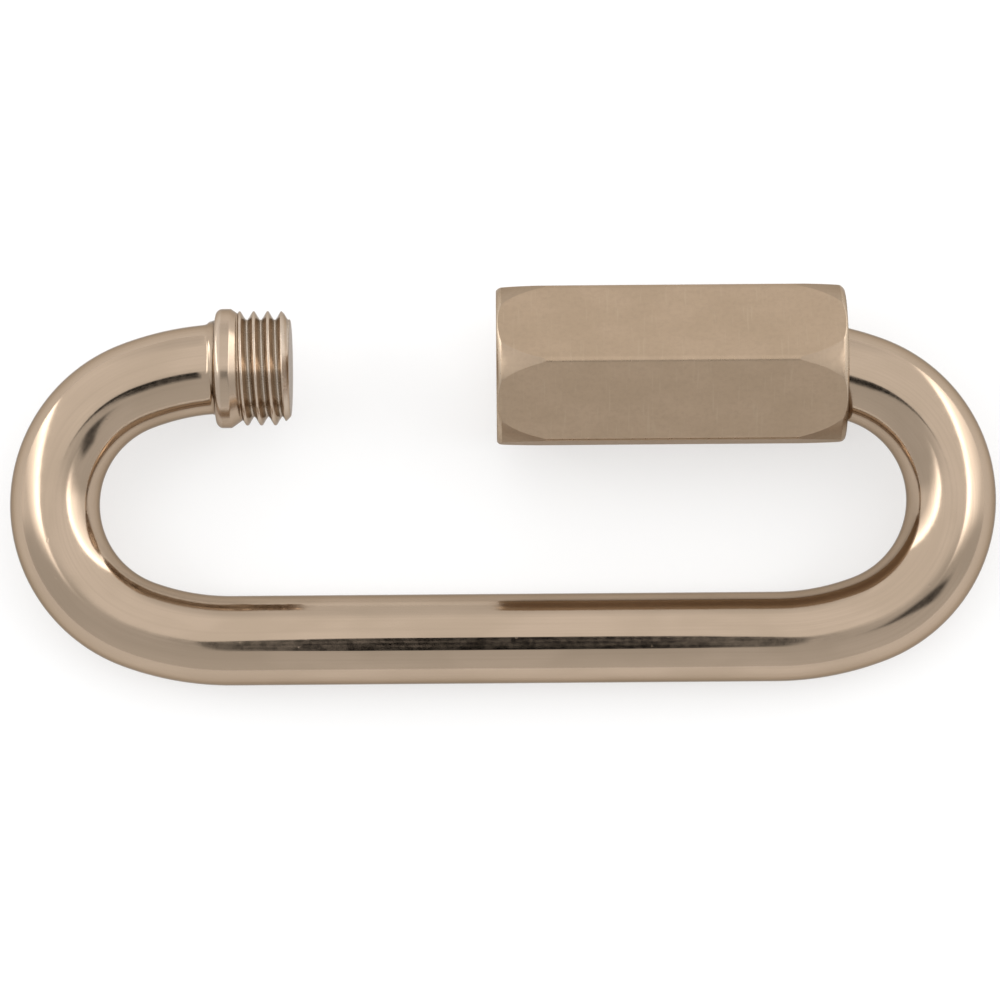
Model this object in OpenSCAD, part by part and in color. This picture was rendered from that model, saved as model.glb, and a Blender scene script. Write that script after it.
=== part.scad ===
// Wide-opening chain quick link: a bent round-wire body with a thread on both
// of its ends, and a long hexagonal sleeve nut that screws across the gate.
// The link is drawn flat first, with X along its rod, Y from the rod to the
// gate and Z out of the link's plane. lie_down() then tips it to the way it
// rests on a table: on the rod and on one corner of the open nut.

/* [Wire body] */
// Diameter of the round wire
wire_d = 8; // [6:0.1:9]
// Length over both bows
link_len = 88; // [80:0.5:110]
// Distance from the axis of the rod to the axis of the threaded arms
arm_spacing = 24.3; // [22:0.1:32]
// How much larger the bend radius of the shoulders is than that of the bow between them
shoulder_gain = 12.5; // [4:0.5:30]

/* [Thread] */
// Major diameter of the thread on both ends of the wire
thread_d = 10.2; // [9.2:0.1:11.5]
// Pitch of the thread
thread_pitch = 1.25; // [0.75:0.25:2]
// Length of the thread on the short stub
stub_thread_len = 4.4; // [3:0.1:6]
// Depth of the other arm's end inside the mouth of the open nut
arm_recess = 0.5; // [0:0.1:3]
// Half angle of the cone where the long thread runs out into the wire
runout_deg = 30; // [15:1:60]

/* [Collar] */
// Length of the stub's collar
collar_len = 2.25; // [1.8:0.05:4]
// Height of the collar above the thread
collar_lip = 0.25; // [0.1:0.05:1]
// Radius of the collar's rounded edges
collar_edge_r = 0.7; // [0.2:0.05:0.85]
// How far the collar reaches back over the bend
collar_setback = 1.25; // [0:0.05:3]

/* [Sleeve nut] */
// Size of the nut across its flats
nut_af = 13.8; // [13:0.1:18]
// Length of the nut
nut_len = 31; // [26:0.5:36]
// Length of the turned taper at each end of the nut
nut_taper_len = 4.4; // [1:0.1:8]
// Mean slope of the turned taper
nut_taper_deg = 10.6; // [4:0.1:18]
// Radius to which the turned taper is crowned
nut_crown_r = 27; // [15:1:100]
// Depth to which the six long corners are rounded off
nut_corner_break = 0.05; // [0.02:0.01:0.3]
// Depth to which the two end rims are broken
nut_rim_break = 0.3; // [0.1:0.05:0.8]
// Depth of the countersink in each mouth of the bore
mouth_depth = 0.5; // [0.2:0.1:1]

/* [Clearances] */
// Radial play between the thread and the nut
thread_clearance = 0.05; // [0.02:0.01:0.1]
// Gap left between the open nut's bore and the bend of the wire
bend_clearance = 0.3; // [0.1:0.05:0.6]

/* [Hidden] */
$fn = 96;

// How far a cutter runs past what it cuts
cut_past = 1;
// Reach of the sectors that cut a bend out of a full ring
sector_reach = 100;

// Slope at which a shoulder passes into the bow, about 20.6 degrees. It is that
// of a right triangle with sides 44, 117 and 125, which has short decimals, so
// that the two bends end on exactly the same face.
slope_sin = 44 / 125;
slope_cos = 117 / 125;

// Bend of the wire: a bow of one radius between two easier shoulders
wire_r = wire_d / 2;
bow_r = arm_spacing / 2 - shoulder_gain * (1 - slope_cos);
shoulder_r = bow_r + shoulder_gain;
bow_x = link_len / 2 - wire_r - bow_r;
straight_end_x = bow_x - shoulder_gain * slope_sin;

// Threaded ends: depth of the thread sets the chamfer that leads the nut on
thread_r = thread_d / 2;
thread_depth = 0.6134 * thread_pitch;
lead_chamfer = 0.6 * thread_depth;
runout_len = (thread_r - wire_r) / tan(runout_deg);

// Collar and stub, from the end of the left bend towards the gate
collar_r = thread_r + collar_lip;
collar_x = -straight_end_x - collar_setback;

// Sections of the nut
bore_r = thread_r + thread_clearance;
corner_r = nut_af / 2 / cos(30);
barrel_r = corner_r - nut_corner_break;
end_r = barrel_r - nut_taper_len * tan(nut_taper_deg);
rim_r = end_r - nut_rim_break;

// Crown of the nut's taper: the centre of its arc, out from the middle of its chord
crown_chord = nut_taper_len / cos(nut_taper_deg);
crown_sink = sqrt(nut_crown_r * nut_crown_r - crown_chord * crown_chord / 4);
crown_x = (end_r + barrel_r) / 2 - crown_sink * cos(nut_taper_deg);
crown_y = nut_taper_len / 2 + crown_sink * sin(nut_taper_deg);

// Open nut: screwed back until its bore comes close to the inside of the bend,
// which happens on the shoulder or, with a thin wire, further round on the bow
shoulder_stop = (shoulder_r - bore_r + bend_clearance) / (shoulder_r - wire_r);
bow_stop = (arm_spacing / 2 - bore_r + bend_clearance) / (bow_r - wire_r);
stop_x = shoulder_stop > slope_cos
    ? straight_end_x + (shoulder_r - wire_r) * sin(acos(shoulder_stop))
    : bow_x + (bow_r - wire_r) * sin(acos(bow_stop));
nut_x = stop_x + mouth_depth - nut_len;
arm_x = nut_x + arm_recess;

// Rest on a table: the tilt that brings the rod and a nut corner to one level
corner_deg = 30 - acos(nut_af / 2 / barrel_r);
prop_y = arm_spacing - barrel_r * sin(corner_deg);
prop_z = barrel_r * cos(corner_deg);
tilt = atan2(prop_z, prop_y) - asin(wire_r / norm([prop_y, prop_z]));
far_y = arm_spacing * cos(tilt) + barrel_r * cos(30 - corner_deg - tilt);
rod_y = (wire_r - far_y) / 2;

// Tips the flat link to its rest, with the origin under the middle of its box
module lie_down() {
    translate([0, rod_y, wire_r]) rotate([tilt, 0, 0]) children();
}

// Bent length of wire: the part of a full ring that lies in a sector of its plane
module bend(bend_r, sector) {
    intersection() {
        rotate_extrude() translate([bend_r, 0]) circle(d = wire_d);
        translate([0, 0, -wire_d])
            linear_extrude(2 * wire_d) polygon(sector_reach * sector);
    }
}

// Easy bend from the rod up to the right-hand bow
module shoulder() {
    translate([straight_end_x, shoulder_r, 0])
        bend(shoulder_r, [[0, 0], [0, -1], [slope_sin, -slope_cos]]);
}

// Right-hand bow with its two shoulders
module bow() {
    translate([bow_x, arm_spacing / 2, 0])
        bend(bow_r, [[0, 0], [slope_sin, -slope_cos], [1, -1], [1, 1], [slope_sin, slope_cos]]);
    shoulder();
    translate([0, arm_spacing, 0]) mirror([0, 1, 0]) shoulder();
}

// Straight rod opposite the gate
module rod() {
    translate([-straight_end_x, 0, 0])
        rotate([0, 90, 0]) cylinder(d = wire_d, h = 2 * straight_end_x);
}

// Turns a profile about the arms' axis: its X is the radius, its Y runs along the arm
module turned_at(start_x) {
    translate([start_x, arm_spacing, 0])
        rotate([0, 90, 0]) rotate_extrude() children();
}

// Profile of a collar with rounded edges
module collar_profile() {
    square([collar_r - collar_edge_r, collar_len]);
    translate([0, collar_edge_r])
        square([collar_r, collar_len - 2 * collar_edge_r]);
    for (edge_y = [collar_edge_r, collar_len - collar_edge_r])
        translate([collar_r - collar_edge_r, edge_y]) circle(r = collar_edge_r);
}

// Profile of the stub: collar and short thread with a chamfered tip
module stub_profile() {
    tip_y = collar_len + stub_thread_len;
    collar_profile();
    polygon([
        [0, collar_len / 2],
        [thread_r, collar_len / 2],
        [thread_r, tip_y - lead_chamfer],
        [thread_r - lead_chamfer, tip_y],
        [0, tip_y]
    ]);
}

// Profile of the long arm, back from its bend: run-out, long thread and chamfered tip
module arm_profile() {
    arm_len = straight_end_x - arm_x;
    polygon([
        [0, 0],
        [wire_r, 0],
        [thread_r, -runout_len],
        [thread_r, lead_chamfer - arm_len],
        [thread_r - lead_chamfer, -arm_len],
        [0, -arm_len]
    ]);
}

// What a round cutter leaves outside its arc, from one end of the nut to the arc's widest level
module turned_off(arc_x, arc_y, arc_r) {
    difference() {
        translate([0, -cut_past]) square([barrel_r + cut_past, arc_y + cut_past]);
        translate([arc_x, arc_y]) circle(arc_r);
    }
}

// What is turned off one end: a crowned taper, and a rim broken at 45 degrees to the end face
module end_cut() {
    turned_off(crown_x, crown_y, nut_crown_r);
    turned_off(0, rim_r, rim_r * sqrt(2));
}

// Profile that breaks the long corners of the hexagon bar and turns down both its ends
module nut_profile() {
    difference() {
        square([barrel_r, nut_len]);
        end_cut();
        translate([0, nut_len]) mirror([0, 1]) end_cut();
    }
}

// Profile of the bore with a countersunk mouth at both ends
module bore_profile() {
    mouth_r = bore_r + mouth_depth + cut_past;
    polygon([
        [0, -cut_past],
        [mouth_r, -cut_past],
        [bore_r, mouth_depth],
        [bore_r, nut_len - mouth_depth],
        [mouth_r, nut_len + cut_past],
        [0, nut_len + cut_past]
    ]);
}

// Bent wire with its collar, stub and threaded arm, all one piece
module link_body() {
    color("silver") lie_down() {
        rod();
        bow();
        mirror([1, 0, 0]) bow();
        turned_at(collar_x) stub_profile();
        turned_at(straight_end_x) arm_profile();
    }
}

// Long sleeve nut, with one corner towards each side of the link
module sleeve_nut() {
    color("tan") lie_down()
        difference() {
            intersection() {
                translate([nut_x, arm_spacing, 0])
                    rotate([0, 90, 0]) cylinder(r = corner_r, h = nut_len, $fn = 6);
                turned_at(nut_x) nut_profile();
            }
            turned_at(nut_x) bore_profile();
        }
}

link_body();
sleeve_nut();
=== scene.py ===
"""Looks of an open chain quick link: a bent wire body with cut threads, and a long sleeve nut."""

import math

import bpy
import numpy as np
from mathutils import Matrix, Vector


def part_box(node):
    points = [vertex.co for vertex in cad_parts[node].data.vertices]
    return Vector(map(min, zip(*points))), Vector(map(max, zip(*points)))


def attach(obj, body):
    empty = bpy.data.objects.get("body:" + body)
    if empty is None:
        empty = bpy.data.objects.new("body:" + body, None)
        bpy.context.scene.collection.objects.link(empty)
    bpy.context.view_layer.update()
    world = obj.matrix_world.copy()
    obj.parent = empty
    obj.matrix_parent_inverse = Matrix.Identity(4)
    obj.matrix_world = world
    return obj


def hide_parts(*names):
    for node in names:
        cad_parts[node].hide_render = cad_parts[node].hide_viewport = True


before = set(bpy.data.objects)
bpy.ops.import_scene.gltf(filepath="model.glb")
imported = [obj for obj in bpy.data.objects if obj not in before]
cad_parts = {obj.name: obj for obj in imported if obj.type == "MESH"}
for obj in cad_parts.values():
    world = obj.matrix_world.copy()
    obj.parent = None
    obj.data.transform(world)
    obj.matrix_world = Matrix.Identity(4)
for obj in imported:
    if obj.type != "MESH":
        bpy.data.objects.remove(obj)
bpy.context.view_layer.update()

MM = 0.001
TAU = 2 * math.pi

# Sizes of the solids, in millimetres, with their slopes and the nut's corners
WIRE_R = 4.0
LINK_LEN = 88.0
SHOULDER_GAIN = 12.5
SLOPE_SIN = 44 / 125
SLOPE_COS = 117 / 125
THREAD_R = 5.1
PITCH = 1.25
STUB_LEN = 4.4
ARM_RECESS = 0.5
RUNOUT_SLOPE = math.tan(math.radians(30))
COLLAR_LEN = 2.25
COLLAR_SETBACK = 1.25
CORNERS = 6
HALF_SIDE = math.pi / CORNERS
HALF_AF = 6.9
TAPER_LEN = 4.4
TAPER_SLOPE = math.radians(10.6)
CROWN_R = 27.0
RIM_BREAK = 0.3
MOUTH_DEPTH = 0.5
PLAY = 0.05

# Depths of a standard thread, as shares of its pitch
OUTER_DEPTH_SHARE = 0.6134
INNER_DEPTH_SHARE = 0.5413

# Sizes of what only the looks have, in millimetres and degrees
THREAD_DEPTH = OUTER_DEPTH_SHARE * PITCH
CREST_SHARE = 0.06
FLANK_SHARE = 0.38
CREST_X = -22.13
LEAD = 0.8
NUT_MINOR_R = THREAD_R - INNER_DEPTH_SHARE * PITCH + PLAY
RELIEF_LEN = 3.1
THREAD_END = 0.2
COLLAR_TOP_R = 5.32
COLLAR_EDGE = 0.6
COLLAR_FLAT_END = 1.35
COLLAR_SLOPE = math.tan(math.radians(35))
COLLAR_FACE_RADII = (4.6, 4.45, 4.36)
FLAT_DEPTH = 0.042
FLAT_TURN_DEG = 4.3
FLAT_HALF_LEN = 29.5
FLAT_CROWN = 0.15
FLAT_RUNOUT_POWER = 4
NUT_TURN_DEG = 2.1
CORNER_BREAK = 0.1
END_FACE_EDGE = 0.08
RELIEF_DEPTHS = (2.6, 2.0, 1.4, 1.0, 0.75, 0.5, 0.35, 0.2, 0.02, 0.0)

# Fillet behind the collar: degrees along the shoulder, and what it adds to the radius
FILLET = ((3.78, 0.24), (3.98, 0.14), (4.25, 0.065), (4.6, 0.02))

# Dished tips: radius and depth of the inner rings, margin and depth of the outer ones
TIP_RINGS = ((0.6, 0.05), (1.6, 0.035), (2.8, 0.01))
TIP_EDGE_RINGS = ((0.14, 0.0), (0.04, 0.01))
TIP_DISH = 0.055

# Painted highlight and shade: above nought a painted highlight on the wire's crests, collar and tips and
# on the nut's rims, with the nut's ridges only smoother; below it painted shade on the nut's tapers and
# in its bore's thread roots, and a painted paler tint that lifts the shade in the wire's thread roots
TIP_HIGHLIGHT = 0.3
COLLAR_HIGHLIGHT = 0.2
COLLAR_EDGE_HIGHLIGHT = 0.6
COLLAR_FACE_HIGHLIGHT = 0.1
RIM_HIGHLIGHT = 1.0
RIDGE_WEAR = 0.5
TAPER_SHADE = -0.5

# Fineness of the meshes
SIDE_STEP_DEG = 3.75
STEPS_PER_TURN = 24
BEND_STEP = 0.5
ROD_STEP = 0.8
FLAT_SHARES = (0.3, 0.6, 0.9, 1.0, 1.12, 1.3)
FLAT_CLEAR = 1.45
END_GAP_STEPS = 0.2
COLLAR_EDGE_STEPS = 9
COLLAR_EDGE_TURNS = (0.05, 0.5)
ROW_GAP = 0.02
EDGE_GAP = 0.05
BESIDE_EDGE = 0.25
PAST_TAPER = 0.4
LEAST_STEP = 0.004
RIM_ROUNDS = 60
RIM_ROWS = 3
TAPER_ROWS = 7
TAPER_SHARES = (0.15, 0.35, 0.55, 0.75, 0.9)
MIDDLE_SHARES = (0.25, 0.35, 0.45, 0.55, 0.65, 0.75)
CORNER_SHARES = (0, 0.25, 0.5, 0.75, 1, 1.2)
FLAT_OFFSETS_DEG = (4, 5.5, 7, 8.5, 10, 11.5, 13, 14.5, 15.5, 16.5, 18, 21, 25)

# Place of the link, read from the solids: the nut's axis and the tilt at which the link lies
nut_low, nut_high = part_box("sleeve_nut")
nut_x = nut_low.x / MM
nut_end_x = nut_high.x / MM
axis_y = (nut_low.y + nut_high.y) / 2 / MM
axis_z = (nut_low.z + nut_high.z) / 2 / MM
rod_y = WIRE_R - nut_high.y / MM
arm_v = math.hypot(axis_y - rod_y, axis_z - WIRE_R)
tilt = math.atan2(axis_z - WIRE_R, axis_y - rod_y)
lie_down = Matrix.Translation((0, rod_y, WIRE_R)) @ Matrix.Rotation(tilt, 4, "X")

# Bend of the wire: a bow of one radius between two easier shoulders
bow_r = arm_v / 2 - SHOULDER_GAIN * (1 - SLOPE_COS)
shoulder_r = bow_r + SHOULDER_GAIN
bow_x = LINK_LEN / 2 - WIRE_R - bow_r
straight_x = bow_x - SHOULDER_GAIN * SLOPE_SIN
collar_x = -straight_x - COLLAR_SETBACK
stub_tip_x = collar_x + COLLAR_LEN + STUB_LEN
arm_tip_x = nut_x + ARM_RECESS

# Angles round the wire, closer together beside the flat that is pressed into the rod
flat_half_deg = math.degrees(math.acos(1 - FLAT_DEPTH / WIRE_R))
flat_deg = 90 + FLAT_TURN_DEG
flat_shares = [-share for share in FLAT_SHARES[::-1]] + [0.0] + list(FLAT_SHARES)
flat_steps_deg = flat_half_deg * np.array(flat_shares)
even_deg = np.arange(0, 360, SIDE_STEP_DEG)
even_deg = even_deg[np.abs(even_deg - flat_deg) > FLAT_CLEAR * flat_half_deg]
around = np.radians(np.sort(np.concatenate((even_deg, flat_deg + flat_steps_deg))))
SIDES = len(around)


def to_row(points):
    """Points of the flat link in millimetres become points of the row frame in metres."""
    turn = np.array(lie_down.to_3x3())
    shift = np.array(lie_down.translation)
    return (np.asarray(points) @ turn.T + shift) * MM


def thread_rise(place, angle):
    """Height of the thread at a place along the arms' axis: 1 on the crest and 0 in the root."""
    turns = (place - CREST_X) / PITCH - angle / TAU
    off_crest = np.abs(turns - np.round(turns))
    return np.clip((CREST_SHARE + FLANK_SHARE - off_crest) / FLANK_SHARE, 0, 1)


def outer_thread(place, angle):
    """Radius of the thread on the stub and on the arm."""
    return THREAD_R - THREAD_DEPTH * (1 - thread_rise(place, angle))


def thread_places(low, high):
    """Places along the arms' axis that both threads share, so that they never cross."""
    step = PITCH / STEPS_PER_TURN
    first = math.ceil((low - CREST_X) / step + END_GAP_STEPS)
    last = math.floor((high - CREST_X) / step - END_GAP_STEPS)
    return CREST_X + step * np.arange(first, last + 1)


def add_mesh(name, points, straight, highlight_and_shade, faces, body, node):
    """Makes a smooth piece for a solid, with its unbent place and its painted highlight and shade stored
    on its points.
    """
    mesh = bpy.data.meshes.new(name)
    mesh.from_pydata(to_row(points).tolist(), [], faces)
    mesh.polygons.foreach_set("use_smooth", [True] * len(mesh.polygons))
    mesh.attributes.new("straight", "FLOAT_VECTOR", "POINT").data.foreach_set(
        "vector", np.asarray(straight, dtype=np.float32).ravel()
    )
    mesh.attributes.new("highlight_and_shade", "FLOAT", "POINT").data.foreach_set(
        "value", np.asarray(highlight_and_shade, dtype=np.float32)
    )
    mesh.validate()
    piece = bpy.data.objects.new(name, mesh)
    bpy.context.scene.collection.objects.link(piece)
    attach(piece, body)
    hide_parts(node)
    return piece


def tube_faces(rows, columns):
    """Quads between the rings of a closed tube, facing out."""
    faces = []
    for row in range(rows - 1):
        for column in range(columns):
            following = (column + 1) % columns
            low = row * columns
            high = low + columns
            faces.append((low + column, low + following, high + following, high + column))
    return faces


# Wire body: rings along the wire from the tip of the stub to the tip of the long arm
class Wire:
    """Rings round the wire's path, gathered one after the other."""

    def __init__(self):
        self.points = []
        self.straight = []
        self.highlight_and_shade = []
        self.travelled = 0.0
        self.last = None

    def add(self, centre, heading, radii, highlight_and_shade=0.0):
        """One ring with its centre and heading in the link's plane."""
        if self.last is not None:
            self.travelled += math.dist(centre, self.last)
        self.last = centre
        radii = np.broadcast_to(radii, SIDES)
        across = radii * np.cos(around)
        upward = radii * np.sin(around)
        self.points.append(
            np.column_stack(
                (
                    centre[0] - across * math.sin(heading),
                    centre[1] + across * math.cos(heading),
                    upward,
                )
            )
        )
        self.straight.append(np.column_stack((np.full(SIDES, self.travelled), across, upward)))
        self.highlight_and_shade.append(np.broadcast_to(highlight_and_shade, SIDES))

    def bend(self, centre, radius, start_deg, end_deg):
        """Rings along an arc that turns to the left, its start left out."""
        count = max(2, round(math.radians(end_deg - start_deg) * radius / BEND_STEP))
        for step in range(1, count + 1):
            angle = math.radians(start_deg + (end_deg - start_deg) * step / count)
            place = (centre[0] + radius * math.cos(angle), centre[1] + radius * math.sin(angle))
            self.add(place, angle + math.pi / 2, WIRE_R)


# Both arms are followed towards the left, so their own angle runs against the ring's
arm_angle = math.pi - around
slope_deg = math.degrees(math.atan2(SLOPE_SIN, SLOPE_COS))
tip_r = THREAD_R - LEAD


def tip_face(wire, tip_x, outward):
    """Rings of a slightly dished end with a softened edge, from its middle outwards or inwards."""
    rings = list(TIP_RINGS) + [(tip_r - margin, sink) for margin, sink in TIP_EDGE_RINGS]
    for radius, sink in rings if outward else reversed(rings):
        # Painted highlight on the tip's face
        wire.add((tip_x - (sink if outward else -sink), arm_v), math.pi, radius, TIP_HIGHLIGHT)


def collar_radius(place):
    """Radius of the collar: a round shoulder on the wire's side and a slope on the thread's."""
    depth = place - collar_x
    slope = COLLAR_TOP_R - np.maximum(depth - COLLAR_FLAT_END, 0) * COLLAR_SLOPE
    corner = np.clip(COLLAR_EDGE - depth, 0, COLLAR_EDGE)
    rounding = COLLAR_EDGE - np.sqrt(COLLAR_EDGE**2 - corner**2)
    return slope - rounding


wire = Wire()
tip_face(wire, stub_tip_x, True)
for place in thread_places(collar_x + COLLAR_EDGE, stub_tip_x)[::-1]:
    cut = np.minimum(outer_thread(place, arm_angle), tip_r + stub_tip_x - place)
    collar = collar_radius(place)
    # Painted highlight on the collar and the thread crests, and a painted paler tint in the thread roots
    highlight_and_shade = np.where(collar > cut, COLLAR_HIGHLIGHT, 2 * thread_rise(place, arm_angle) - 1)
    wire.add((place, arm_v), math.pi, np.maximum(cut, collar), highlight_and_shade)
edge_turns = np.linspace(*COLLAR_EDGE_TURNS, COLLAR_EDGE_STEPS) * math.pi
for depth in COLLAR_EDGE * (1 - np.sin(edge_turns)):
    place = collar_x + depth
    # Painted highlight on the collar's rounded edge
    wire.add((place, arm_v), math.pi, collar_radius(place), COLLAR_EDGE_HIGHLIGHT)
for radius in COLLAR_FACE_RADII:
    # Painted highlight on the collar's face
    wire.add((collar_x, arm_v), math.pi, radius, COLLAR_FACE_HIGHLIGHT)

# The wire leaves the collar with a small fillet and follows the bends
upper_left = (-straight_x, arm_v - shoulder_r)
for turn_deg, fillet in FILLET:
    angle = math.radians(90 + turn_deg)
    spot = (
        upper_left[0] + shoulder_r * math.cos(angle),
        upper_left[1] + shoulder_r * math.sin(angle),
    )
    wire.add(spot, angle + math.pi / 2, WIRE_R + fillet)
wire.bend(upper_left, shoulder_r, 90 + FILLET[-1][0], 90 + slope_deg)
wire.bend((-bow_x, arm_v / 2), bow_r, 90 + slope_deg, 270 - slope_deg)
wire.bend((-straight_x, shoulder_r), shoulder_r, 270 - slope_deg, 270)
for place in np.linspace(-straight_x, straight_x, round(2 * straight_x / ROD_STEP))[1:]:
    wire.add((place, 0.0), 0.0, WIRE_R)
wire.bend((straight_x, shoulder_r), shoulder_r, 270, 270 + slope_deg)
wire.bend((bow_x, arm_v / 2), bow_r, 270 + slope_deg, 450 - slope_deg)
wire.bend((straight_x, arm_v - shoulder_r), shoulder_r, 450 - slope_deg, 450)

# Long arm: the thread runs out into the wire, and its tip is chamfered
for place in thread_places(arm_tip_x, straight_x)[::-1]:
    cut = np.minimum(outer_thread(place, arm_angle), tip_r + place - arm_tip_x)
    runout = WIRE_R + (straight_x - place) * RUNOUT_SLOPE
    # Painted highlight on the thread crests and a painted paler tint in the thread roots, none on the
    # plain run-out
    highlight_and_shade = np.where(runout < cut, 0.0, 2 * thread_rise(place, arm_angle) - 1)
    wire.add((place, arm_v), math.pi, np.minimum(cut, runout), highlight_and_shade)
tip_face(wire, arm_tip_x, False)

wire_rows = len(wire.points)
first_middle = wire_rows * SIDES
wire_faces = tube_faces(wire_rows, SIDES)
last_row = first_middle - SIDES
for column in range(SIDES):
    following = (column + 1) % SIDES
    wire_faces.append((first_middle, following, column))
    wire_faces.append((first_middle + 1, last_row + column, last_row + following))

# Pressed flat: a thin slice off the front of the rod, slightly crowned, which runs out at both ends.
# What lies higher than a third of the way to the arms stays round.
flat_turn = math.radians(FLAT_TURN_DEG)
flat_facing = np.array((0, -math.sin(flat_turn), math.cos(flat_turn)))
above_rod = arm_v / 3
for ring in wire.points:
    along_rod = np.minimum(np.abs(ring[:, 0]) / FLAT_HALF_LEN, 1)
    flat_depth = FLAT_DEPTH * (1 - along_rod**FLAT_RUNOUT_POWER)
    proud = np.maximum(ring @ flat_facing - (WIRE_R - flat_depth), 0)
    proud[ring[:, 1] > above_rod] = 0
    ring -= np.outer((1 - FLAT_CROWN) * proud, flat_facing)
tip_middles = [(stub_tip_x - TIP_DISH, arm_v, 0), (arm_tip_x + TIP_DISH, arm_v, 0)]
wire_points = np.vstack(wire.points + [tip_middles])
wire_straight = np.vstack(wire.straight + [[(0, 0, 0), (wire.travelled, 0, 0)]])
wire_highlight_and_shade = np.concatenate(wire.highlight_and_shade + [[TIP_HIGHLIGHT, TIP_HIGHLIGHT]])
wire_piece = add_mesh(
    "link_wire", wire_points, wire_straight, wire_highlight_and_shade, wire_faces, "link", "link_body"
)

# Sleeve nut: outline of its rounded hexagon and of its turned ends
corner_reach = HALF_AF / math.cos(HALF_SIDE)
barrel_r = corner_reach - CORNER_BREAK
end_r = barrel_r - TAPER_LEN * math.tan(TAPER_SLOPE)
rim_r = end_r - RIM_BREAK
crown_chord = TAPER_LEN / math.cos(TAPER_SLOPE)
crown_sink = math.sqrt(CROWN_R**2 - crown_chord**2 / 4)
crown_out = (end_r + barrel_r) / 2 - crown_sink * math.cos(TAPER_SLOPE)
crown_in = TAPER_LEN / 2 + crown_sink * math.sin(TAPER_SLOPE)
corner_r = CORNER_BREAK / (1 / math.cos(HALF_SIDE) - 1)
corner_middle = (HALF_AF - corner_r) / math.cos(HALF_SIDE)
flat_edge = (HALF_AF - corner_r) * math.tan(HALF_SIDE)
corner_half = HALF_SIDE - math.atan2(flat_edge, HALF_AF)


def hexagon_reach(off_corner):
    """Distance from the nut's axis to its outline, by the angle from the nearest corner."""
    if abs(off_corner) < corner_half:
        side = corner_middle * math.sin(off_corner)
        return corner_middle * math.cos(off_corner) + math.sqrt(corner_r**2 - side**2)
    return HALF_AF / math.cos(HALF_SIDE - abs(off_corner))


def crown_radius(depth):
    """Radius of the crowned taper at a depth from the end of the nut."""
    return crown_out + math.sqrt(CROWN_R**2 - (depth - crown_in) ** 2)


def crown_depth(radius):
    """Depth at which the crowned taper reaches a radius."""
    return crown_in - math.sqrt(CROWN_R**2 - (radius - crown_out) ** 2)


def rim_radius(depth):
    """Radius of the broken rim at a depth from the end of the nut."""
    return math.sqrt(2 * rim_r**2 - (rim_r - depth) ** 2)


def rim_depth(radius):
    """Depth at which the broken rim reaches a radius."""
    return rim_r - math.sqrt(2 * rim_r**2 - radius**2)


# The rim gives way to the taper where their radii are the same
rim_end = 0.0
for _ in range(RIM_ROUNDS):
    rim_end = rim_depth(crown_radius(rim_end))


def end_depths(reach):
    """Depths of the rows at one end of the nut, which follow the edge of its turned end."""
    if reach > crown_radius(rim_end):
        edge = crown_depth(reach)
    else:
        edge = rim_depth(reach)
    rim = min(rim_end, edge)
    taper = edge - rim
    wanted = [0.0, 0.5 * rim, rim - ROW_GAP, rim + ROW_GAP]
    wanted += [rim + share * taper for share in TAPER_SHARES]
    wanted += [edge - EDGE_GAP, edge, edge + EDGE_GAP, edge + BESIDE_EDGE]
    wanted += [TAPER_LEN + PAST_TAPER]
    depths = [0.0]
    for depth in wanted[1:]:
        depths.append(max(depth, depths[-1] + LEAST_STEP))
    return depths


corner_steps_deg = [math.degrees(corner_half) * share for share in CORNER_SHARES]
corner_steps_deg += FLAT_OFFSETS_DEG
side_deg = 360 / CORNERS
offsets_deg = [-step for step in corner_steps_deg[:0:-1]] + corner_steps_deg + [side_deg / 2]
nut_columns = []
for corner in range(CORNERS):
    for offset_deg in offsets_deg:
        angle_deg = 90 - NUT_TURN_DEG + side_deg * corner + offset_deg
        nut_columns.append((math.radians(angle_deg), math.radians(offset_deg)))
column_count = len(nut_columns)
nut_len = nut_end_x - nut_x
middle_depths = [nut_len * share for share in MIDDLE_SHARES]

# Rows of the nut's outside, column by column, each with its end's inner row on the flat end face
outside = []
outside_highlight_and_shade = []
for angle, off_corner in nut_columns:
    reach = hexagon_reach(off_corner)
    depths = end_depths(reach)
    profile = [(0.0, rim_r - END_FACE_EDGE)]
    profile += [(depth, min(reach, crown_radius(depth), rim_radius(depth))) for depth in depths]
    side = [(nut_x + depth, radius) for depth, radius in profile]
    side += [(nut_x + depth, reach) for depth in middle_depths]
    side += [(nut_end_x - depth, radius) for depth, radius in reversed(profile)]
    outside.append([(x, radius * math.cos(angle), radius * math.sin(angle)) for x, radius in side])
    ridge = RIDGE_WEAR * math.exp(-((off_corner / corner_half) ** 4))
    # Painted highlight on the rim rows and painted shade on the taper rows
    end_highlight_and_shade = [0.0] + [RIM_HIGHLIGHT] * RIM_ROWS + [TAPER_SHADE] * TAPER_ROWS
    end_highlight_and_shade += [ridge] * (len(profile) - len(end_highlight_and_shade))
    outside_highlight_and_shade.append(end_highlight_and_shade + [ridge] * len(middle_depths) + end_highlight_and_shade[::-1])
outside = np.array(outside).transpose(1, 0, 2)
outside_highlight_and_shade = np.array(outside_highlight_and_shade).T
outside_rows = outside.shape[0]

# Bore of the nut: its angles are the wire's, counted the other way
bore_around = np.sort((math.pi - around) % TAU)


def bore_radius(place):
    """Radius of the bore: a thread, a plain relief at the bend's end, and a sunk mouth at both ends."""
    thread = np.maximum(outer_thread(place, bore_around) + PLAY, NUT_MINOR_R)
    plain_r = THREAD_R + PLAY
    from_end = nut_end_x - place
    relief = plain_r if from_end < RELIEF_LEN else plain_r - (from_end - RELIEF_LEN)
    mouth = plain_r + MOUTH_DEPTH - min(place - nut_x, from_end)
    return np.maximum(thread, max(relief, mouth))


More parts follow.
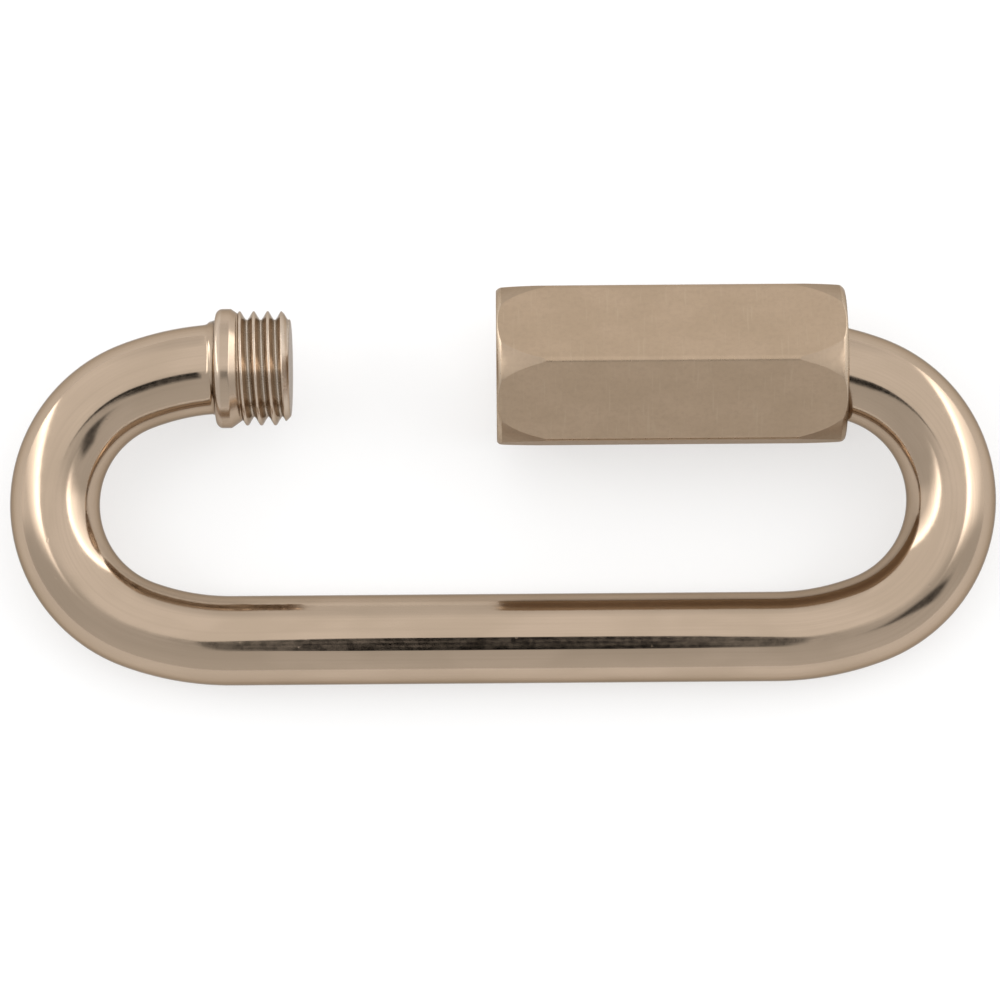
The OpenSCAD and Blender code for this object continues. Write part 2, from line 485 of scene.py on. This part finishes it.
bore_places = [nut_x, nut_x + ROW_GAP]
bore_places += list(thread_places(nut_x + ROW_GAP, nut_end_x - RELIEF_LEN + THREAD_END))
bore_places += [nut_end_x - depth for depth in RELIEF_DEPTHS]
bore = []
bore_shade = []
for place in bore_places:
    radii = bore_radius(place)
    along_v = radii * np.cos(bore_around)
    along_w = radii * np.sin(bore_around)
    bore.append(np.column_stack((np.full(SIDES, place), along_v, along_w)))
    # Painted shade in the roots of the bore's thread
    bore_shade.append(-thread_rise(place, bore_around))
bore_rows = len(bore)
bore_first = outside_rows * column_count


def ring_faces(outer_first, outer_angles, inner_first, inner_angles, faces_right):
    """Triangles of a flat ring between two loops with different angles, both in turning order."""
    faces = []
    outer_count = len(outer_angles)
    inner_count = len(inner_angles)
    outer_step = 0
    inner_step = 0
    while outer_step < outer_count or inner_step < inner_count:
        outer_now = outer_first + outer_step % outer_count
        inner_now = inner_first + inner_step % inner_count
        outer_turns, outer_place = divmod(outer_step + 1, outer_count)
        inner_turns, inner_place = divmod(inner_step + 1, inner_count)
        outer_next = outer_angles[outer_place] + TAU * outer_turns
        inner_next = inner_angles[inner_place] + TAU * inner_turns
        if inner_step >= inner_count or (outer_step < outer_count and outer_next <= inner_next):
            outer_step += 1
            corner = outer_first + outer_step % outer_count
        else:
            inner_step += 1
            corner = inner_first + inner_step % inner_count
        triangle = (outer_now, corner, inner_now)
        faces.append(triangle if faces_right else triangle[::-1])
    return faces


nut_faces = tube_faces(outside_rows, column_count)
for face in tube_faces(bore_rows, SIDES):
    nut_faces.append(tuple(bore_first + corner for corner in reversed(face)))
first_angle = nut_columns[0][0]
outer_angles = [angle - first_angle for angle, _ in nut_columns]
start_column = int(np.argmin((bore_around - first_angle) % TAU))
inner_order = (np.arange(SIDES) + start_column) % SIDES
nut_points = np.vstack((outside.reshape(-1, 3), np.vstack(bore)))
nut_highlight_and_shade = np.concatenate((outside_highlight_and_shade.ravel(), np.concatenate(bore_shade)))
inner_angles = [float((bore_around[column] - first_angle) % TAU) for column in inner_order]
for outer_row, bore_row, faces_right in ((0, 0, False), (outside_rows - 1, bore_rows - 1, True)):
    outer_first = outer_row * column_count
    inner_first = bore_first + bore_row * SIDES
    inner_corner = {}
    for step, column in enumerate(inner_order):
        inner_corner[inner_first + step] = inner_first + int(column)
    for triangle in ring_faces(outer_first, outer_angles, inner_first, inner_angles, faces_right):
        nut_faces.append(tuple(inner_corner.get(corner, corner) for corner in triangle))
nut_piece = add_mesh(
    "nut_sleeve",
    nut_points + np.array((0, arm_v, 0)),
    nut_points,
    nut_highlight_and_shade,
    nut_faces,
    "nut",
    "sleeve_nut",
)


# Materials: warm stainless steel, with its drawing lines and tumbling marks, painted highlights on its
# edges and crests, and painted shade and a paler painted tint in its grooves
class Nodes:
    """A material's node tree, with short calls for the nodes that both steels share."""

    def __init__(self, material):
        material.use_nodes = True
        self.tree = material.node_tree
        self.shader = self.tree.nodes["Principled BSDF"]
        self.place = self.make("ShaderNodeAttribute", attribute_name="straight").outputs["Vector"]
        self.highlight_and_shade = self.make("ShaderNodeAttribute", attribute_name="highlight_and_shade").outputs["Fac"]

    def make(self, kind, **settings):
        """A new node with its settings."""
        node = self.tree.nodes.new(kind)
        for name, value in settings.items():
            setattr(node, name, value)
        return node

    def join(self, source, target):
        """A link from one socket to another."""
        self.tree.links.new(source, target)

    def noise(self, scale, detail=3.0, rough=0.55):
        """Noise whose fineness per millimetre is set for each direction of the unbent wire."""
        mapping = self.make("ShaderNodeMapping")
        mapping.inputs["Scale"].default_value = scale
        self.join(self.place, mapping.inputs["Vector"])
        noise = self.make("ShaderNodeTexNoise")
        noise.inputs["Scale"].default_value = 1.0
        noise.inputs["Detail"].default_value = detail
        noise.inputs["Roughness"].default_value = rough
        self.join(mapping.outputs["Vector"], noise.inputs["Vector"])
        return noise.outputs["Fac"]

    def span(self, value, low, high, new_low, new_high):
        """A value moved from one range to another and held inside it."""
        node = self.make("ShaderNodeMapRange", interpolation_type="SMOOTHSTEP")
        node.inputs["From Min"].default_value = low
        node.inputs["From Max"].default_value = high
        node.inputs["To Min"].default_value = new_low
        node.inputs["To Max"].default_value = new_high
        self.join(value, node.inputs["Value"])
        return node.outputs["Result"]

    def work_out(self, operation, first, second):
        """Two values joined by arithmetic."""
        node = self.make("ShaderNodeMath", operation=operation)
        self.join(first, node.inputs[0])
        self.join(second, node.inputs[1])
        return node.outputs["Value"]

    def blend(self, amount, first, second):
        """Two colours mixed by an amount."""
        node = self.make("ShaderNodeMix", data_type="RGBA")
        self.join(amount, node.inputs["Factor"])
        for name, value in (("A", first), ("B", second)):
            socket = [one for one in node.inputs if one.name == name and one.type == "RGBA"][0]
            if isinstance(value, tuple):
                socket.default_value = (*value, 1.0)
            else:
                self.join(value, socket)
        return [one for one in node.outputs if one.type == "RGBA"][0]

    def bump(self, height, distance, normal=None):
        """A bump of a height in metres, laid over another."""
        node = self.make("ShaderNodeBump")
        node.inputs["Distance"].default_value = distance
        self.join(height, node.inputs["Height"])
        if normal is not None:
            self.join(normal, node.inputs["Normal"])
        return node.outputs["Normal"]


# Heights of bumps, in metres, and colours of the two steels, of their painted highlights and shades, and
# of their rims
MICRON = 0.000001
WIRE_DEEP = (0.416, 0.322, 0.238)
WIRE_PALE = (0.454, 0.352, 0.263)
WIRE_LINES = (0.37, 0.285, 0.21)
WIRE_GROOVE_LIGHT = (0.5, 0.43, 0.36)
WIRE_CREST_HIGHLIGHT = (0.6, 0.5, 0.41)
WIRE_RIMS = (0.5, 0.46, 0.42, 1.0)
NUT_DEEP = (0.398, 0.296, 0.205)
NUT_PALE = (0.428, 0.318, 0.223)
NUT_MOTTLE = (0.343, 0.26, 0.187)
NUT_SCUFFS = (0.44, 0.337, 0.238)
NUT_SHADE = (0.27, 0.225, 0.18)
NUT_RIM_HIGHLIGHT = (0.52, 0.425, 0.325)
NUT_RIMS = (0.55, 0.5, 0.45, 1.0)


def wire_steel():
    """Drawn wire, tumbled to a shine, with threads rougher in their grooves, a painted paler tint that
    lifts the shade in those grooves, and a painted highlight on their crests, the collar and the tips.
    """
    material = bpy.data.materials.new("wire_steel")
    nodes = Nodes(material)
    waves = nodes.noise((0.11, 0.26, 0.26), 2.0)
    lines = nodes.noise((0.05, 5.0, 5.0), 3.0, 0.6)
    tumble = nodes.noise((1.3, 1.6, 1.6), 4.0, 0.6)
    nicks = nodes.noise((1.5, 1.9, 1.9), 1.0, 0.4)
    tone = nodes.blend(nodes.span(waves, 0.35, 0.65, 0.0, 1.0), WIRE_DEEP, WIRE_PALE)
    tone = nodes.blend(nodes.span(lines, 0.4, 0.75, 0.0, 0.3), tone, WIRE_LINES)
    # Painted paler tint in the thread roots, which lifts their shade
    tone = nodes.blend(nodes.span(nodes.highlight_and_shade, -1.0, 0.0, 1.0, 0.0), tone, WIRE_GROOVE_LIGHT)
    # Painted highlight on the crests, the collar and the tips
    tone = nodes.blend(nodes.span(nodes.highlight_and_shade, 0.0, 1.0, 0.0, 0.7), tone, WIRE_CREST_HIGHLIGHT)
    nodes.join(tone, nodes.shader.inputs["Base Color"])
    nodes.shader.inputs["Metallic"].default_value = 1.0
    nodes.shader.inputs["Specular Tint"].default_value = WIRE_RIMS
    rough = nodes.span(tumble, 0.3, 0.7, 0.08, 0.125)
    rough = nodes.work_out("ADD", rough, nodes.span(lines, 0.3, 0.8, 0.0, 0.05))
    rough = nodes.work_out("ADD", rough, nodes.span(nodes.highlight_and_shade, -1.0, 0.0, 0.16, 0.0))
    rough = nodes.work_out("ADD", rough, nodes.span(nodes.highlight_and_shade, 0.0, 0.3, 0.0, 0.12))
    nodes.join(rough, nodes.shader.inputs["Roughness"])
    normal = nodes.bump(waves, 14.0 * MICRON)
    normal = nodes.bump(lines, 0.8 * MICRON, normal)
    normal = nodes.bump(tumble, 1.6 * MICRON, normal)
    normal = nodes.bump(nodes.span(nicks, 0.77, 0.81, 1.0, 0.0), 3.0 * MICRON, normal)
    nodes.join(normal, nodes.shader.inputs["Normal"])
    return material


def nut_steel():
    """Cold-drawn hexagon bar with satin flats and turned ends."""
    material = bpy.data.materials.new("nut_steel")
    nodes = Nodes(material)
    clouds = nodes.noise((0.22, 0.4, 0.4), 3.0)
    grain = nodes.noise((0.5, 6.0, 6.0), 4.0, 0.65)
    mottle = nodes.noise((2.2, 2.6, 2.6), 5.0, 0.65)
    scuffs = nodes.noise((4.5, 0.3, 0.3), 2.0, 0.5)
    tone = nodes.blend(nodes.span(clouds, 0.3, 0.7, 0.0, 1.0), NUT_DEEP, NUT_PALE)
    tone = nodes.blend(nodes.span(mottle, 0.4, 0.75, 0.0, 0.35), tone, NUT_MOTTLE)
    tone = nodes.blend(nodes.span(scuffs, 0.56, 0.75, 0.0, 0.5), tone, NUT_SCUFFS)
    # Painted shade on the tapers and in the bore's thread roots
    tone = nodes.blend(nodes.span(nodes.highlight_and_shade, -1.0, 0.0, 0.6, 0.0), tone, NUT_SHADE)
    # Painted highlight on the rims
    tone = nodes.blend(nodes.span(nodes.highlight_and_shade, 0.5, 1.0, 0.0, 0.6), tone, NUT_RIM_HIGHLIGHT)
    nodes.join(tone, nodes.shader.inputs["Base Color"])
    nodes.shader.inputs["Metallic"].default_value = 1.0
    nodes.shader.inputs["Specular Tint"].default_value = NUT_RIMS
    rough = nodes.span(mottle, 0.3, 0.7, 0.38, 0.47)
    rough = nodes.work_out("SUBTRACT", rough, nodes.span(scuffs, 0.6, 0.75, 0.0, 0.06))
    rough = nodes.work_out("SUBTRACT", rough, nodes.span(nodes.highlight_and_shade, 0.1, 0.5, 0.0, 0.12))
    nodes.join(rough, nodes.shader.inputs["Roughness"])
    normal = nodes.bump(clouds, 6.0 * MICRON)
    normal = nodes.bump(grain, 1.0 * MICRON, normal)
    normal = nodes.bump(mottle, 2.6 * MICRON, normal)
    nodes.join(normal, nodes.shader.inputs["Normal"])
    return material


wire_piece.data.materials.append(wire_steel())
nut_piece.data.materials.append(nut_steel())

# The nut's large flats keep their own shading up to their edges
FLAT_WEIGHT = 80
even_flats = nut_piece.modifiers.new("even_flats", "WEIGHTED_NORMAL")
even_flats.weight = FLAT_WEIGHT

# Floor: a plain pale sheet under the link
FLOOR_HALF = 3.0
FLOOR_SINK = 0.00001
FLOOR_GREY = 0.48
FLOOR_ROUGH = 0.9
FLOOR_WHITE = 0.52
floor_mesh = bpy.data.meshes.new("floor")
floor_corners = [(FLOOR_HALF * x, FLOOR_HALF * y, 0) for x, y in ((-1, -1), (1, -1), (1, 1), (-1, 1))]
floor_mesh.from_pydata(floor_corners, [], [(0, 1, 2, 3)])
floor = bpy.data.objects.new("floor", floor_mesh)
floor.location.z = -FLOOR_SINK
bpy.context.scene.collection.objects.link(floor)
floor_paint = bpy.data.materials.new("floor_paint")
floor_paint.use_nodes = True
paint_tree = floor_paint.node_tree
paint = paint_tree.nodes["Principled BSDF"]
paint.inputs["Base Color"].default_value = (FLOOR_GREY, FLOOR_GREY, FLOOR_GREY, 1.0)
paint.inputs["Roughness"].default_value = FLOOR_ROUGH
paint.inputs["Specular IOR Level"].default_value = 0.0
paint.inputs["Emission Color"].default_value = (1.0, 1.0, 1.0, 1.0)
light_path = paint_tree.nodes.new("ShaderNodeLightPath")
seen = light_path.outputs["Is Camera Ray"]
for name in ("Is Glossy Ray", "Is Transmission Ray"):
    either = paint_tree.nodes.new("ShaderNodeMath")
    either.operation = "MAXIMUM"
    paint_tree.links.new(seen, either.inputs[0])
    paint_tree.links.new(light_path.outputs[name], either.inputs[1])
    seen = either.outputs["Value"]
own_white = paint_tree.nodes.new("ShaderNodeMath")
own_white.operation = "MULTIPLY"
own_white.inputs[1].default_value = FLOOR_WHITE
paint_tree.links.new(seen, own_white.inputs[0])
paint_tree.links.new(own_white.outputs["Value"], paint.inputs["Emission Strength"])
floor_mesh.materials.append(floor_paint)

# Camera: square to the link's plane, as in the photograph
IMAGE_PIXELS = 1000
PIXELS_PER_MM = 11.2
SENSOR = 36.0
VIEW_DISTANCE = 400.0
VIEW_SPAN = IMAGE_PIXELS / PIXELS_PER_MM
VIEW_U = -0.27
VIEW_V = 12.375
VIEW_ROLL = math.radians(-0.45)
camera_data = bpy.data.cameras.new("camera")
camera_data.sensor_width = SENSOR
camera_data.lens = SENSOR * VIEW_DISTANCE / VIEW_SPAN
camera = bpy.data.objects.new("camera", camera_data)
bpy.context.scene.collection.objects.link(camera)
link_turn = Matrix.Rotation(tilt, 4, "X")
eye = lie_down @ Vector((VIEW_U, VIEW_V, VIEW_DISTANCE)) * MM
camera.matrix_world = Matrix.Translation(eye) @ link_turn @ Matrix.Rotation(VIEW_ROLL, 4, "Z")
bpy.context.scene.camera = camera

# Surroundings: a pale studio with a large soft box on each side, darker below, and a dark camera and arm.
# Places in them are shares of a direction along an axis of the link, with the softness of their edges.

# The lamps: their level, their soft inner edge, and how low and how high they reach
LAMP_LEVEL = 3.2
LAMP_EDGE_START = 0.03
LAMP_EDGE_SOFT = 0.07
LAMP_HEIGHT = (-0.15, 0.74, 0.11, 0.14)
LEFT_LAMP_EDGE = (-0.557, -0.748, -0.362)
RIGHT_LAMP_EDGE = (0.643, -0.577, -0.503)

# Shift of a lamp's inner edge, width of its bright core, and reach of its fading side;
# where the core fades, as shares of its width, and its share of the light
LEFT_LAMP_SHAPE = (0.0, 0.13, 0.38)
RIGHT_LAMP_SHAPE = (0.03, 0.1, 0.53)
CORE_FADE = (0.5, 1.6)
CORE_LIGHT = 0.5

# The sky: its levels below and above the horizon, and the dark camera and arm in it
LOW_LEVEL = 0.79
HIGH_LEVEL = 1.22
HORIZON = (-0.2, -0.01)
TOP_FADE = (0.84, 0.98, 1.0, 0.8)
BOTTOM_GLOW = (-1.0, -0.5, 1.1, 1.0)
CAMERA_HALF = 0.07
CAMERA_SOFT = 0.01
CAMERA_HEIGHT = (-0.36, -0.08, 0.08, 0.025)
CAMERA_FRONT = (0.0, 0.3)
ARM_ACROSS = (0.271, 0.962, 0)
ARM_ALONG = (0.962, -0.271, 0)
ARM_WIDTH = (-0.342, -0.182, 0.03, 0.03)
ARM_LENGTH = (0.33, 0.75, 0.06, 0.08)
ARM_FRONT = (0.2, 0.4)
ARM_DARK = 0.9

world = bpy.data.worlds.new("studio")
bpy.context.scene.world = world
world.use_nodes = True
tree = world.node_tree
direction = tree.nodes.new("ShaderNodeTexCoord").outputs["Generated"]


def along(axis):
    """How far a direction of the surroundings points along an axis of the link."""
    node = tree.nodes.new("ShaderNodeVectorMath")
    node.operation = "DOT_PRODUCT"
    node.inputs[1].default_value = link_turn @ Vector(axis)
    tree.links.new(direction, node.inputs[0])
    return node.outputs["Value"]


def ease(value, low, high, new_low, new_high, kind="SMOOTHSTEP"):
    """A step between two values, soft or straight."""
    node = tree.nodes.new("ShaderNodeMapRange")
    node.interpolation_type = kind
    node.inputs["From Min"].default_value = low
    node.inputs["From Max"].default_value = high
    node.inputs["To Min"].default_value = new_low
    node.inputs["To Max"].default_value = new_high
    tree.links.new(value, node.inputs["Value"])
    return node.outputs["Result"]


def work_out(operation, first, second):
    """Two values joined by arithmetic."""
    node = tree.nodes.new("ShaderNodeMath")
    node.operation = operation
    tree.links.new(first, node.inputs[0])
    tree.links.new(second, node.inputs[1])
    return node.outputs["Value"]


def window(value, low, high, soft_low, soft_high):
    """One between two values, and nought outside their soft edges."""
    rising = ease(value, low - soft_low, low + soft_low, 0.0, 1.0)
    falling = ease(value, high - soft_high, high + soft_high, 1.0, 0.0)
    return work_out("MULTIPLY", rising, falling)


def soft_box(edge, shift, core, reach):
    """A lamp that is brightest along its inner edge and fades to its outer one."""
    inside = along(edge)
    start = -LAMP_EDGE_START - shift
    bright = ease(inside, CORE_FADE[0] * core, CORE_FADE[1] * core, CORE_LIGHT, 0.0)
    fading = ease(inside, core, reach, 1 - CORE_LIGHT, 0.0, "LINEAR")
    edge_light = ease(inside, start, start + LAMP_EDGE_SOFT, 0.0, LAMP_LEVEL)
    lamp = work_out("MULTIPLY", edge_light, work_out("ADD", bright, fading))
    return work_out("MULTIPLY", lamp, window(upwards, *LAMP_HEIGHT))


sideways = along((1, 0, 0))
upwards = along((0, 1, 0))
outwards = along((0, 0, 1))
sky = ease(upwards, *HORIZON, LOW_LEVEL, HIGH_LEVEL)
sky = work_out("MULTIPLY", sky, ease(upwards, *TOP_FADE))
sky = work_out("MULTIPLY", sky, ease(upwards, *BOTTOM_GLOW))
dark_camera = window(sideways, -CAMERA_HALF, CAMERA_HALF, CAMERA_SOFT, CAMERA_SOFT)
dark_camera = work_out("MULTIPLY", dark_camera, window(upwards, *CAMERA_HEIGHT))
dark_camera = work_out("MULTIPLY", dark_camera, ease(outwards, *CAMERA_FRONT, 0.0, 1.0))
dark_arm = window(along(ARM_ACROSS), *ARM_WIDTH)
dark_arm = work_out("MULTIPLY", dark_arm, window(along(ARM_ALONG), *ARM_LENGTH))
dark_arm = work_out("MULTIPLY", dark_arm, ease(outwards, *ARM_FRONT, 0.0, ARM_DARK))
dark = work_out("MAXIMUM", dark_camera, dark_arm)
sky = work_out("SUBTRACT", sky, work_out("MULTIPLY", sky, dark))
sky = work_out("ADD", sky, soft_box(LEFT_LAMP_EDGE, *LEFT_LAMP_SHAPE))
sky = work_out("ADD", sky, soft_box(RIGHT_LAMP_EDGE, *RIGHT_LAMP_SHAPE))
tree.links.new(sky, tree.nodes["Background"].inputs["Strength"])
tree.nodes["Background"].inputs["Color"].default_value = (1.0, 1.0, 1.0, 1.0)

bpy.context.scene.view_settings.view_transform = "Standard"
